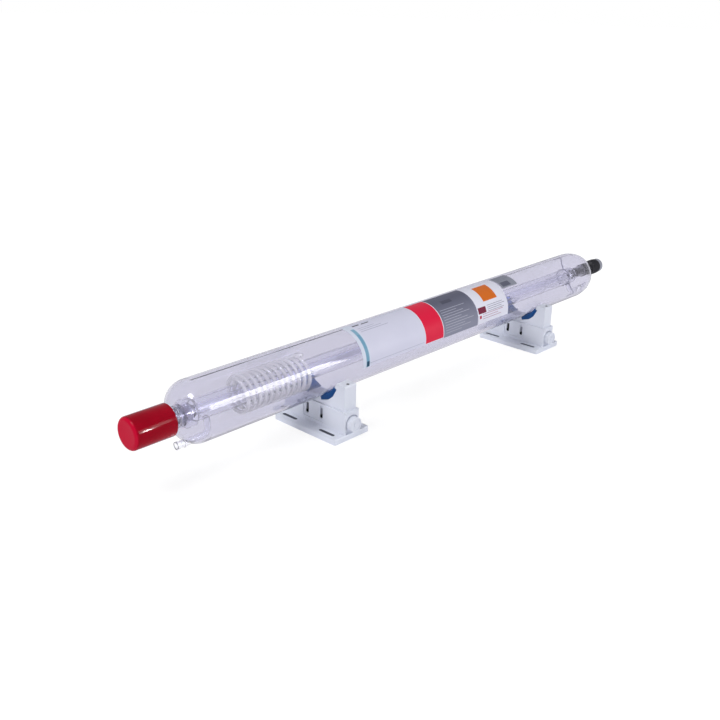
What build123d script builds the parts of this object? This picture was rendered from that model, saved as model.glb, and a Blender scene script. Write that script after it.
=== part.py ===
from build123d import *
import math
import os

# A sealed CO2 laser tube lying on two height-adjustable plastic supports.
# Frame: millimetres, +Z up from the bench, +Y along the tube from the output end to the
# high-voltage end, origin on the near support's underside, straight under the tube axis.

# ---- Tube: where it lies -------------------------------------------------------------------
front_end_y = -238.0        # outside of the envelope's output end
envelope_length = 912.0     # glass envelope, end to end

# ---- Glass ---------------------------------------------------------------------------------
envelope_radius = 40.0
envelope_wall = 2.2
front_flat_width = 1.95     # flat ring of the output end wall, outside the neck
rear_dome_length = 46.0     # elliptical dome at the high-voltage end
front_chamber_length = 18.0     # cathode chamber inside the envelope
rear_chamber_length = 44.0      # anode chamber inside the envelope
chamber_cone_length = 8.0
jacket_radius = 14.0        # water jacket, outside
jacket_wall = 1.5
jacket_front_gap = 7.0      # jacket's ends, inside the envelope's
jacket_rear_gap = 36.0
jacket_bulb_radius = 17.5   # wider part of the water jacket, round the cathode chamber
jacket_bulb_step = 2.5      # first step out from the neck
jacket_bulb_inset = 5.0
jacket_bulb_length = 9.0
jacket_cone_length = 5.0
jacket_end_cone_length = 4.0
bore_tube_radius = 6.5      # discharge tube, outside
bore_tube_wall = 2.0
front_neck_radius = 12.0    # cathode chamber and output neck, outside
rear_neck_radius = 10.0     # anode chamber and rear neck, outside
neck_wall = 1.5
front_neck_length = 14.0    # neck standing out of the envelope at the output end
rear_neck_length = 10.0
glass_seal_gap = 0.05       # between a tube and the ring of glass melted onto it

nipple_radius = 4.5         # water nipples
nipple_wall = 1.2
nipple_lip_height = 0.8
nipple_lip_length = 3.0
nipple_lip_taper = 6.0      # degrees
nipple_bend_radius = 10.0
nipple_turn = 16.0          # nipples, round the tube from straight down, towards +X
branch_root = 0.5           # how far a branch starts inside the jacket's wall
branch_bore_root = 1.0      # and its bore inside the jacket's bore
front_nipple_inset = 7.0    # nipple axis in from the envelope's outside
rear_nipple_inset = 10.0
front_branch_inset = 42.0   # branch off the water jacket, in from the envelope's end
rear_branch_inset = 48.0
front_nipple_reach = 7.0    # nipple tip past the envelope's end
rear_nipple_reach = 10.0

coil_inset = 89.0           # gas return coil, in from the envelope's output end
coil_turns = 12
coil_pitch = 9.4
coil_radius = 23.0          # centre line of the turns
coil_tube_radius = 2.6
coil_bore_radius = 1.6

# ---- Metal in the glass --------------------------------------------------------------------
cathode_gap = 0.7           # electrode to the glass chamber round it
cathode_length = 20.0
electrode_wall = 0.8
anode_gap = 0.6
anode_length = 26.0
anode_ring_width = 3.0
anode_ring_wall = 1.5
anode_ring_gap = 12.0       # ring to cylinder
anode_inset = 24.0          # cylinder starts inside the envelope's rear end
rod_overlap = (1.0, 4.0)    # rods past the ring's face, and along the cylinder
lead_radius = 0.6
lead_overlap = 8.0          # anode lead along the cylinder
weld_depth = 0.2            # lead or rod sunk into the electrode it is welded to
clip_inset = 62.0           # spring clip centring the water jacket, in from the rear end
clip_band_width = 3.0
clip_band_wall = 1.2
clip_strip = 0.6
clip_foot_gap = 0.1         # foot to the envelope's inside
clip_knee = (7.0, 12.0)     # knee of a leg: along the tube from the band, in from the foot
clip_heel = 13.0            # start of the foot, along the tube from the band
clip_clearance = 0.05
clip_foot_length = 22.0
clip_leg_count = 3

# ---- Output head, lens and cap -------------------------------------------------------------
head_sleeve_radius = 15.0
head_radius = 17.8
head_sleeve_length = 16.0
head_length = 37.0
head_neck_gap = 10.0        # head's shoulder beyond the glass neck
head_bore_radius = 8.0
lens_radius = 12.0
lens_thickness = 3.0
lens_seal_thickness = 1.0
lens_seal_margins = (1.0, 0.5)  # clear of the bore, and of the lens edge
lens_ring_length = 4.0
lens_ring_bore = 9.0
optic_clearance = 0.05
cap_radius = 20.5
cap_fit = 0.2               # cap bore over the head
cap_length = 56.0
cap_end_thickness = 3.5
cap_edge_radius = 4.0
cap_end_gap = 1.5           # room between the cap's closed end and the head

# ---- Rear mirror mount ---------------------------------------------------------------------
mount_sleeve_radius = 11.4
mount_sleeve_gap = 6.0      # glass neck left bare between envelope and sleeve
mount_sleeve_length = 19.0
mount_radius = 13.0
mount_length = 27.0
mount_edge = 1.0
mount_bore_radius = 6.0
mirror_radius = 10.0
mirror_thickness = 4.0
mirror_ring_radius = 12.4
mirror_ring_length = 11.0
mirror_ring_spigot = 4.0
mirror_ring_hole_radius = 4.0
mirror_ring_edge = 1.5
spanner_hole_radius = 1.2
spanner_hole_circle = 7.6

# ---- Labels --------------------------------------------------------------------------------
label_thickness = 0.2
label_gap = 0.05
label_top_angle = -8.0      # from straight up, towards +X
label_bottom_angle = 99.0
main_label_y = (41.0, 301.0)
notice_label_y = (302.0, 382.0)
top_label_y = (385.0, 427.0)
top_label_angles = (-6.0, 38.0)

# ---- Supports ------------------------------------------------------------------------------
support_spacing = 481.0
base_ledge = 0.7            # base plate past each end of the housing
base_width = 65.8           # along the tube
base_thickness = 8.0
base_corner_radius = 3.0
base_edge_radius = 1.6
slot_length = 28.0          # fixing slots in the base's two flanges
slot_width = 5.2
slot_offset_x = 36.0
slot_offset_y = 23.6
housing_length = 114.0      # across the tube, without the knob's boss
knob_boss_length = 3.0      # housing and base longer at the knob's end
housing_width = 26.6
housing_top = 40.0
housing_edge_radius = 1.2
end_wall = 9.0              # housing wall beyond each end of the cavity
cavity_width = 19.6
cavity_floor = 6.0
pocket_length = 40.0        # shallow recess in each long side of the housing
pocket_rim = 2.0            # housing left above the pocket
pocket_depth = 1.5
pocket_floor = 13.0
pocket_corner_radius = 1.0
pin_radius = 2.5            # guide pins in the upright slots
pin_offset_x = 13.5
pin_clearance = 0.1
pin_press = 0.01
pin_end_gap = 0.3           # pin end below the pocket's face
slot_end_gap = 0.7          # upright slot past the pin's highest and lowest places
lift = 12.0                 # height adjustment
lowest_pin_height = 20.5

cradle_inset = 1.0          # cradle short of each end of the housing
cradle_width = 22.0
arm_drop = 12.9             # arm tops below the tube axis
arm_edge_radius = 2.5
saddle_gap = 2.0            # bare land between the two pads, clear of the glass
saddle_web = 6.9            # least thickness of the cradle under the saddle
pad_gap = 0.1               # pad face to glass, and pad back to cradle
pad_end_thickness = 5.8
pad_back_thickness = 7.1    # at the flat back, in the middle
pad_back_width = 11.0
pad_proud = 0.5             # pad standing out of the cradle's faces
pad_low_angle = 15.8        # pad ends, from straight down
pad_high_angle = 62.8
arm_hole_radius = 2.2
arm_hole_depth = 15.0
arm_hole_inset = 5.0        # hole centre in from the arm's outer face

stem_end_gap = 4.0          # the cradle's skirt, short of each end of the cavity
stem_bottom = 12.0
stem_clearance = 0.2
cheek_thickness = 2.5
screw_slot_width = 9.0      # between the skirt's inner ledges, clear of the lead screw
ledge_slope = 0.5           # wedge ramp, rise over run

screw_height = 22.0
screw_radius = 4.0
screw_end_radius = 3.0
screw_clearance = 0.05
collar_radius = 6.5
collar_width = 2.0
collar_clearance = 0.2
screw_end_reach = 7.0       # spigot's hole into the blind end of the housing
screw_end_gap = 0.2
wedge_left_x = -10.0
wedge_length = 34.0
wedge_side_clearance = 0.3
wedge_top_clearance = 0.5

knob_radius = 10.5
knob_thickness = 10.6
knob_edge_radius = 1.2
knob_dish_radius = 8.0
knob_dish_depth = 0.8
knob_boss_radius = 3.2
knob_bore_depth = 7.0
knob_side_gap = 1.8         # knob to the arched recess it turns in
recess_depth = 3.0
knob_clearance = 0.3
cut_margin = 1.0            # cutters past the faces they leave through

# ---- Worked out from the above -------------------------------------------------------------
saddle_radius = envelope_radius + saddle_gap
axis_height = housing_top + saddle_web + saddle_radius    # with the cradles fully down
rear_end_y = front_end_y + envelope_length
tube_axis = Axis((0, 0, axis_height), (0, 1, 0))
rear_shoulder_y = rear_end_y - rear_dome_length
envelope_bore = envelope_radius - envelope_wall
neck_front_y = front_end_y - front_neck_length
neck_rear_y = rear_end_y + rear_neck_length
front_seal_radius = front_neck_radius + glass_seal_gap
rear_seal_radius = rear_neck_radius + glass_seal_gap
front_corner_radius = envelope_radius - front_seal_radius - front_flat_width
front_shoulder_y = front_end_y + front_corner_radius
front_nipple_drop = envelope_radius - front_nipple_inset
rear_nipple_drop = envelope_radius - rear_nipple_inset
front_chamber_bore = front_neck_radius - neck_wall
rear_chamber_bore = rear_neck_radius - neck_wall
bore_radius = bore_tube_radius - bore_tube_wall
pad_face_radius = envelope_radius + pad_gap
os.makedirs("parts", exist_ok=True)


def save(piece, label):
    piece.part.label = label
    export_step(piece.part, f"parts/{label}.step")


def axial_plane(angle=0.0):
    """Plane through the tube axis: local x along the tube, local y outwards at this angle
    from straight up, towards +X."""
    turn = math.radians(angle)
    return Plane(
        origin=(0, 0, axis_height),
        x_dir=(0, 1, 0),
        z_dir=(math.cos(turn), 0, -math.sin(turn)),
    )


def nipple_centre(drop, y):
    """Point on the axis of a water nipple that lies this far out from the tube axis."""
    turn = math.radians(nipple_turn)
    return (drop * math.sin(turn), y, axis_height - drop * math.cos(turn))


def ring_piece(start_y, end_y, inner_radius, outer_radius):
    """A plain turned ring or sleeve round the tube axis."""
    with BuildPart() as ring:
        with BuildSketch(axial_plane()):
            with Locations(((start_y + end_y) / 2, (inner_radius + outer_radius) / 2)):
                Rectangle(end_y - start_y, outer_radius - inner_radius)
        revolve(axis=tube_axis)
    return ring


def wrap(start_y, end_y, start_angle, end_angle, inner_radius, outer_radius):
    """A strip bent round the tube axis between two angles."""
    with BuildPart() as strip:
        with BuildSketch(axial_plane(start_angle)):
            with Locations(((start_y + end_y) / 2, (inner_radius + outer_radius) / 2)):
                Rectangle(end_y - start_y, outer_radius - inner_radius)
        revolve(axis=tube_axis, revolution_arc=end_angle - start_angle)
    return strip


# ---- Glass envelope: one blown tube with a rolled shoulder and a domed end ------------------
with BuildPart() as gas_envelope:
    with BuildSketch(axial_plane()):
        with BuildLine():
            front_centre = (front_shoulder_y, envelope_radius - front_corner_radius)
            inner_front_radius = front_corner_radius - envelope_wall
            rear_centre = (rear_shoulder_y, rear_seal_radius)
            outer_rise = envelope_radius - rear_seal_radius
            Line((front_end_y, front_seal_radius), (front_end_y, front_centre[1]))
            CenterArc(front_centre, front_corner_radius, 180, -90)
            Line((front_shoulder_y, envelope_radius), (rear_shoulder_y, envelope_radius))
            EllipticalCenterArc(
                rear_centre, rear_dome_length, outer_rise, start_angle=0, arc_size=90
            )
            Line((rear_end_y, rear_seal_radius), (rear_end_y - envelope_wall, rear_seal_radius))
            EllipticalCenterArc(
                rear_centre,
                rear_dome_length - envelope_wall,
                outer_rise - envelope_wall,
                start_angle=0,
                arc_size=90,
            )
            Line((rear_shoulder_y, envelope_bore), (front_shoulder_y, envelope_bore))
            CenterArc(front_centre, inner_front_radius, 180, -90)
            Line(
                (front_end_y + envelope_wall, front_centre[1]),
                (front_end_y + envelope_wall, front_seal_radius),
            )
            Line(
                (front_end_y + envelope_wall, front_seal_radius), (front_end_y, front_seal_radius)
            )
        make_face()
    revolve(axis=tube_axis)
    # Where the two water nipples come out through the end walls.
    for drop, seal_y, outside_y in (
        (front_nipple_drop, front_shoulder_y, front_end_y),
        (rear_nipple_drop, rear_shoulder_y, rear_end_y),
    ):
        with BuildSketch(Plane(nipple_centre(drop, seal_y), z_dir=(0, outside_y - seal_y, 0))):
            Circle(nipple_radius + glass_seal_gap)
        extrude(amount=abs(outside_y - seal_y), mode=Mode.SUBTRACT)
save(gas_envelope, "gas_envelope")


# ---- Discharge tube: narrow bore with a wider chamber at each end ---------------------------
front_chamber_end_y = front_end_y + front_chamber_length
front_cone_end_y = front_chamber_end_y + chamber_cone_length
rear_chamber_start_y = rear_end_y - rear_chamber_length
rear_cone_start_y = rear_chamber_start_y - chamber_cone_length
with BuildPart() as discharge_tube:
    with BuildSketch(axial_plane()):
        with BuildLine():
            Polyline(
                (neck_front_y, front_chamber_bore),
                (neck_front_y, front_neck_radius),
                (front_chamber_end_y, front_neck_radius),
                (front_cone_end_y, bore_tube_radius),
                (rear_cone_start_y, bore_tube_radius),
                (rear_chamber_start_y, rear_neck_radius),
                (neck_rear_y, rear_neck_radius),
                (neck_rear_y, rear_chamber_bore),
                (rear_chamber_start_y, rear_chamber_bore),
                (rear_cone_start_y, bore_radius),
                (front_cone_end_y, bore_radius),
                (front_chamber_end_y, front_chamber_bore),
                close=True,
            )
        make_face()
    revolve(axis=tube_axis)
save(discharge_tube, "discharge_tube")


# ---- Water jacket: tube round the discharge tube, with its two water nipples ----------------
jacket_front_y = front_end_y + jacket_front_gap
bulb_start_y = jacket_front_y + jacket_bulb_inset
bulb_end_y = bulb_start_y + jacket_bulb_length
jacket_straight_y = bulb_end_y + jacket_cone_length
jacket_rear_y = rear_end_y - jacket_rear_gap
jacket_rear_corner_y = jacket_rear_y - jacket_end_cone_length
jacket_bore = jacket_radius - jacket_wall
bulb_bore = jacket_bulb_radius - jacket_wall


def nipple_route(drop, branch_y, tip_y, root):
    """Centre line of a branch: out from the jacket, round one bend, along the tube."""
    side = math.copysign(1.0, tip_y - branch_y)
    bend_y = branch_y + side * nipple_bend_radius
    bend_level = drop - nipple_bend_radius
    with BuildLine(axial_plane(180 - nipple_turn)) as route:
        Line((branch_y, root), (branch_y, bend_level))
        CenterArc((bend_y, bend_level), nipple_bend_radius, 90 + 90 * side, -90 * side)
        Line((bend_y, drop), (tip_y, drop))
    return route


nipples = (
    (front_nipple_drop, front_end_y + front_branch_inset, front_end_y - front_nipple_reach),
    (rear_nipple_drop, rear_end_y - rear_branch_inset, rear_end_y + rear_nipple_reach),
)
with BuildPart() as water_jacket:
    with BuildSketch(axial_plane()):
        with BuildLine():
            Polyline(
                (jacket_front_y, front_seal_radius),
                (jacket_front_y + jacket_wall, front_neck_radius + jacket_bulb_step),
                (bulb_start_y, jacket_bulb_radius),
                (bulb_end_y, jacket_bulb_radius),
                (jacket_straight_y, jacket_radius),
                (jacket_rear_corner_y, jacket_radius),
                (jacket_rear_y, rear_seal_radius),
                (jacket_rear_y - jacket_wall, rear_seal_radius),
                (jacket_rear_corner_y - jacket_wall, jacket_bore),
                (jacket_straight_y, jacket_bore),
                (bulb_end_y, bulb_bore),
                (bulb_start_y + jacket_wall, bulb_bore),
                (jacket_front_y + 2 * jacket_wall, front_seal_radius),
                close=True,
            )
        make_face()
    revolve(axis=tube_axis)
    for drop, branch_y, tip_y in nipples:
        outer_route = nipple_route(drop, branch_y, tip_y, jacket_bore + branch_root)
        with BuildSketch(Plane(outer_route.line @ 0, z_dir=outer_route.line % 0)):
            Circle(nipple_radius)
        sweep(path=outer_route.line)
        lip_side = math.copysign(1.0, tip_y - branch_y)
        with BuildSketch(Plane(nipple_centre(drop, tip_y), z_dir=(0, -lip_side, 0))):
            Circle(nipple_radius + nipple_lip_height)
        extrude(amount=nipple_lip_length, taper=nipple_lip_taper)
    for drop, branch_y, tip_y in nipples:
        bore_route = nipple_route(drop, branch_y, tip_y, jacket_bore - branch_bore_root)
        with BuildSketch(Plane(bore_route.line @ 0, z_dir=bore_route.line % 0)):
            Circle(nipple_radius - nipple_wall)
        sweep(path=bore_route.line, mode=Mode.SUBTRACT)
save(water_jacket, "water_jacket")


# ---- Gas return coil: a glass spiral fused to the jacket at both ends -----------------------
coil_length = coil_turns * coil_pitch
with BuildPart() as return_coil:
    with BuildLine() as turns:
        Helix(
            pitch=coil_pitch,
            height=coil_length,
            radius=coil_radius,
            center=(0, front_end_y + coil_inset, axis_height),
            direction=(0, 1, 0),
        )
    with BuildSketch(Plane(turns.line @ 0, z_dir=turns.line % 0)):
        Circle(coil_tube_radius)
        Circle(coil_bore_radius, mode=Mode.SUBTRACT)
    sweep(path=turns.line, is_frenet=True)
    # A straight radial foot at each end, open to the spiral's bore.
    foot_radius = jacket_radius + glass_seal_gap
    for end in (0, 1):
        elbow = turns.line @ end
        centre = Vector(0, elbow.Y, axis_height)
        outwards = (elbow - centre).normalized()
        for section_radius, foot_start, fused in (
            (coil_tube_radius, foot_radius, Mode.ADD),
            (coil_bore_radius, foot_radius - cut_margin, Mode.SUBTRACT),
        ):
            with Locations(elbow):
                Sphere(section_radius, mode=fused)
            with BuildSketch(Plane(centre + outwards * foot_start, z_dir=outwards)):
                Circle(section_radius)
            extrude(amount=coil_radius - foot_start, mode=fused)
save(return_coil, "return_coil")


# ---- Spring clip that keeps the jacket in the middle of the envelope ------------------------
clip_y = rear_end_y - clip_inset
with BuildPart() as jacket_clip:
    band_inner = jacket_radius + clip_clearance
    band_outer = band_inner + clip_band_wall
    foot_level = envelope_bore - clip_strip / 2 - clip_foot_gap
    with BuildSketch(axial_plane()):
        with Locations((clip_y, (band_inner + band_outer) / 2)):
            Rectangle(clip_band_width, band_outer - band_inner)
    revolve(axis=tube_axis)
    for leg in range(clip_leg_count):
        with BuildSketch(axial_plane(leg * 360 / clip_leg_count)):
            with BuildLine():
                Polyline(
                    (clip_y, band_outer - clip_strip / 2),
                    (clip_y - clip_knee[0], foot_level - clip_knee[1]),
                    (clip_y - clip_heel, foot_level),
                    (clip_y - clip_heel - clip_foot_length, foot_level),
                )
            trace(line_width=clip_strip)
        extrude(amount=clip_band_width / 2, both=True)
save(jacket_clip, "jacket_clip")


# ---- Electrodes and their leads ------------------------------------------------------------
cathode_radius = front_chamber_bore - cathode_gap
cathode_y = (front_chamber_end_y - cathode_length, front_chamber_end_y)
cathode = ring_piece(*cathode_y, cathode_radius - electrode_wall, cathode_radius)
save(cathode, "cathode")

with BuildPart() as cathode_lead:
    lead_level = cathode_radius - electrode_wall - lead_radius
    with BuildSketch(Plane((0, neck_front_y, axis_height + lead_level), z_dir=(0, 1, 0))):
        Circle(lead_radius)
    extrude(amount=cathode_y[0] + cathode_length / 2 - neck_front_y)
save(cathode_lead, "cathode_lead")

anode_radius = rear_chamber_bore - anode_gap
anode_y = (rear_end_y - anode_inset, rear_end_y - anode_inset + anode_length)
anode_bore = anode_radius - electrode_wall
anode_lead_level = anode_bore - lead_radius
anode_rod_level = anode_lead_level + weld_depth
with BuildPart() as anode:
    add(ring_piece(*anode_y, anode_bore, anode_radius).part)
    ring_end_y = anode_y[0] - anode_ring_gap
    add(
        ring_piece(
            ring_end_y - anode_ring_width,
            ring_end_y,
            anode_rod_level - anode_ring_wall,
            anode_rod_level,
        ).part
    )
    for side in (-1, 1):
        rod_start = (side * anode_rod_level, ring_end_y - rod_overlap[0], axis_height)
        with BuildSketch(Plane(rod_start, z_dir=(0, 1, 0))):
            Circle(lead_radius)
        extrude(amount=anode_ring_gap + sum(rod_overlap))
save(anode, "anode")

with BuildPart() as anode_lead:
    lead_start_y = anode_y[1] - lead_overlap
    lead_start = (0, lead_start_y, axis_height + anode_lead_level)
    with BuildSketch(Plane(lead_start, z_dir=(0, 1, 0))):
        Circle(lead_radius)
    extrude(amount=neck_rear_y - lead_start_y)
save(anode_lead, "anode_lead")


# ---- Output head: turned metal, cemented on the neck, with lens, seal and ring --------------
head_back_y = neck_front_y - head_neck_gap
head_front_y = head_back_y - head_length
lens_seat_radius = lens_radius + optic_clearance
lens_front_y = head_front_y + lens_ring_length
seal_front_y = lens_front_y + lens_thickness
lens_seat_y = seal_front_y + lens_seal_thickness
with BuildPart() as output_head:
    with BuildSketch(axial_plane()):
        with BuildLine():
            Polyline(
                (head_front_y, lens_seat_radius),
                (head_front_y, head_radius),
                (head_back_y, head_radius),
                (head_back_y, head_sleeve_radius),
                (head_back_y + head_sleeve_length, head_sleeve_radius),
                (head_back_y + head_sleeve_length, front_seal_radius),
                (neck_front_y, front_seal_radius),
                (neck_front_y, head_bore_radius),
                (lens_seat_y, head_bore_radius),
                (lens_seat_y, lens_seat_radius),
                close=True,
            )
        make_face()
    revolve(axis=tube_axis)
save(output_head, "output_head")

with BuildPart() as output_lens:
    add(ring_piece(lens_front_y, seal_front_y, 0, lens_radius).part)
save(output_lens, "output_lens")

lens_seal = ring_piece(
    seal_front_y,
    lens_seat_y,
    head_bore_radius + lens_seal_margins[0],
    lens_radius - lens_seal_margins[1],
)
save(lens_seal, "lens_seal")

with BuildPart() as lens_ring:
    add(ring_piece(head_front_y, lens_front_y, lens_ring_bore, lens_radius).part)
    with BuildSketch(Plane((0, head_front_y, axis_height), z_dir=(0, 1, 0))):
        with PolarLocations((lens_ring_bore + lens_radius) / 2, 2):
            Circle(spanner_hole_radius)
    extrude(amount=lens_ring_length / 2, mode=Mode.SUBTRACT)
save(lens_ring, "lens_ring")

# Dust cap: moulded soft rubber, one end closed, pushed over the output head.
cap_bore = head_radius + cap_fit
cap_end_y = head_front_y - cap_end_gap - cap_end_thickness
with BuildPart() as dust_cap:
    with BuildSketch(axial_plane()):
        with BuildLine():
            Line((cap_end_y, 0), (cap_end_y, cap_radius - cap_edge_radius))
            CenterArc(
                (cap_end_y + cap_edge_radius, cap_radius - cap_edge_radius), cap_edge_radius, 180, -90
            )
            Polyline(
                (cap_end_y + cap_edge_radius, cap_radius),
                (cap_end_y + cap_length, cap_radius),
                (cap_end_y + cap_length, cap_bore),
                (cap_end_y + cap_end_thickness, cap_bore),
                (cap_end_y + cap_end_thickness, 0),
                (cap_end_y, 0),
            )
        make_face()
    revolve(axis=tube_axis)
save(dust_cap, "dust_cap")


# ---- Rear mirror mount, mirror and ring ----------------------------------------------------
sleeve_start_y = rear_end_y + mount_sleeve_gap
mount_start_y = sleeve_start_y + mount_sleeve_length
mount_end_y = mount_start_y + mount_length
mirror_seat_radius = mirror_radius + optic_clearance
mirror_back_y = mount_end_y - mirror_ring_spigot
mirror_seat_y = mirror_back_y - mirror_thickness
with BuildPart() as rear_mount:
    with BuildSketch(axial_plane()):
        with BuildLine():
            Polyline(
                (sleeve_start_y, rear_seal_radius),
                (sleeve_start_y, mount_sleeve_radius),
                (mount_start_y, mount_sleeve_radius),
                (mount_start_y + mount_edge, mount_radius),
                (mount_end_y, mount_radius),
                (mount_end_y, mirror_seat_radius),
                (mirror_seat_y, mirror_seat_radius),
                (mirror_seat_y, mount_bore_radius),
                (neck_rear_y, mount_bore_radius),
                (neck_rear_y, rear_seal_radius),
                close=True,
            )
        make_face()
    revolve(axis=tube_axis)
save(rear_mount, "rear_mount")

rear_mirror = ring_piece(mirror_seat_y, mirror_back_y, 0, mirror_radius)
save(rear_mirror, "rear_mirror")

with BuildPart() as mirror_ring:
    ring_rear_y = mount_end_y + mirror_ring_length
    with BuildSketch(axial_plane()):
        with BuildLine():
            Polyline(
                (mirror_back_y, mirror_ring_hole_radius),
                (mirror_back_y, mirror_radius),
                (mount_end_y, mirror_radius),
                (mount_end_y, mirror_ring_radius),
                (ring_rear_y - mirror_ring_edge, mirror_ring_radius),
                (ring_rear_y, mirror_ring_radius - mirror_ring_edge),
                (ring_rear_y, mirror_ring_hole_radius),
                close=True,
            )
        make_face()
    revolve(axis=tube_axis)
    with BuildSketch(Plane((0, ring_rear_y, axis_height), z_dir=(0, -1, 0))):
        with PolarLocations(spanner_hole_circle, 4, start_angle=45):
            Circle(spanner_hole_radius)
    extrude(amount=mirror_ring_length / 2, mode=Mode.SUBTRACT)
save(mirror_ring, "mirror_ring")


# ---- Labels: printed film wrapped on the glass ----------------------------------------------
label_inner = envelope_radius + label_gap
label_outer = label_inner + label_thickness
side_angles = (label_top_angle, label_bottom_angle)
save(wrap(*main_label_y, *side_angles, label_inner, label_outer), "main_label")
save(wrap(*notice_label_y, *side_angles, label_inner, label_outer), "notice_label")
save(wrap(*top_label_y, *top_label_angles, label_inner, label_outer), "top_label")


# ---- Supports ------------------------------------------------------------------------------
def side_plane(support_y):
    """Upright plane across the tube at a support: local x is +X, local y is +Z."""
    return Plane(origin=(0, support_y, 0), x_dir=(1, 0, 0), z_dir=(0, -1, 0))


def end_plane(support_y, x):
    """Plane facing +X at this x: local x is +Y, local y is +Z."""
    return Plane(origin=(x, support_y, 0), x_dir=(0, 1, 0), z_dir=(1, 0, 0))


half_housing = housing_length / 2
knob_end_x = half_housing + knob_boss_length
knob_back_x = knob_end_x - recess_depth + knob_clearance
half_cavity = half_housing - end_wall
half_stem = half_cavity - stem_end_gap
pocket_height = housing_top - pocket_rim - pocket_floor
recess_radius = knob_radius + knob_side_gap
arm_top = axis_height - arm_drop
cavity_half_width = cavity_width / 2
cheek_outer = cavity_half_width - stem_clearance
cheek_inner = cheek_outer - cheek_thickness
slot_centre_z = lowest_pin_height + lift / 2


def make_base(support_y, name):
    """Base plate and housing, one moulding."""
    with BuildPart() as base:
        plan = Plane((knob_boss_length / 2, support_y, 0))
        plan_length = housing_length + knob_boss_length
        with BuildSketch(plan):
            RectangleRounded(plan_length + 2 * base_ledge, base_width, base_corner_radius)
        extrude(amount=base_thickness)
        fillet(base.edges().group_by(Axis.Z)[-1], base_edge_radius)
        with BuildSketch(plan):
            RectangleRounded(plan_length, housing_width, housing_edge_radius)
        extrude(amount=housing_top)
        with BuildSketch(Plane((0, support_y, housing_top))):
            Rectangle(2 * half_cavity, cavity_width)
        extrude(amount=cavity_floor - housing_top, mode=Mode.SUBTRACT)
        with BuildSketch(Plane((0, support_y, 0))):
            with GridLocations(2 * slot_offset_x, 2 * slot_offset_y, 2, 2):
                SlotOverall(slot_length, slot_width)
        extrude(amount=base_thickness, mode=Mode.SUBTRACT)
        for side in (-1, 1):
            pocket_plane = side_plane(support_y + side * housing_width / 2)
            with BuildSketch(pocket_plane):
                with Locations((0, pocket_floor + pocket_height / 2)):
                    RectangleRounded(pocket_length, pocket_height, pocket_corner_radius)
            extrude(amount=side * pocket_depth, mode=Mode.SUBTRACT)
            with BuildSketch(pocket_plane):
                with Locations((-pin_offset_x, slot_centre_z), (pin_offset_x, slot_centre_z)):
                    SlotCenterToCenter(
                        lift + 2 * slot_end_gap, 2 * (pin_radius + pin_clearance), rotation=90
                    )
            extrude(amount=side * (housing_width / 2 - cheek_outer), mode=Mode.SUBTRACT)
        with BuildSketch(end_plane(support_y, knob_end_x)):
            with Locations((0, screw_height)):
                Circle(recess_radius)
            with Locations((0, (screw_height + base_thickness) / 2)):
                Rectangle(2 * recess_radius, screw_height - base_thickness)
        extrude(amount=-recess_depth, mode=Mode.SUBTRACT)
        with BuildSketch(end_plane(support_y, knob_end_x)):
            with Locations((0, screw_height)):
                Circle(screw_radius + screw_clearance)
        extrude(amount=-(knob_end_x - half_cavity), mode=Mode.SUBTRACT)
        with BuildSketch(end_plane(support_y, -half_cavity)):
            with Locations((0, screw_height)):
                Circle(screw_end_radius + screw_clearance)
        extrude(amount=-screw_end_reach, mode=Mode.SUBTRACT)
    save(base, f"{name}_base")


def pad_plane(support_y, side):
    """Upright plane across the tube: local y runs out from the tube axis through the middle of
    the pad on this side, +1 for the one towards +X."""
    turn = math.radians(180 - side * (pad_low_angle + pad_high_angle) / 2)
    return Plane(
        origin=(0, support_y, axis_height),
        x_dir=(math.cos(turn), 0, -math.sin(turn)),
        z_dir=(0, -1, 0),
    )


def draw_pad(margin=0.0):
    """Section of a pad in the open sketch, grown by this margin but for its face on the glass."""
    end_radius = pad_face_radius + pad_end_thickness + margin
    back_level = pad_face_radius + pad_back_thickness + margin
    half_turn = math.radians((pad_high_angle - pad_low_angle) / 2) + margin / pad_face_radius
    end = (end_radius * math.sin(half_turn), end_radius * math.cos(half_turn))
    Polygon(
        (0, 0),
        (-end[0], end[1]),
        (-pad_back_width / 2, back_level),
        (pad_back_width / 2, back_level),
        end,
        align=None,
    )
    Circle(pad_face_radius, mode=Mode.SUBTRACT)


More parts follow.
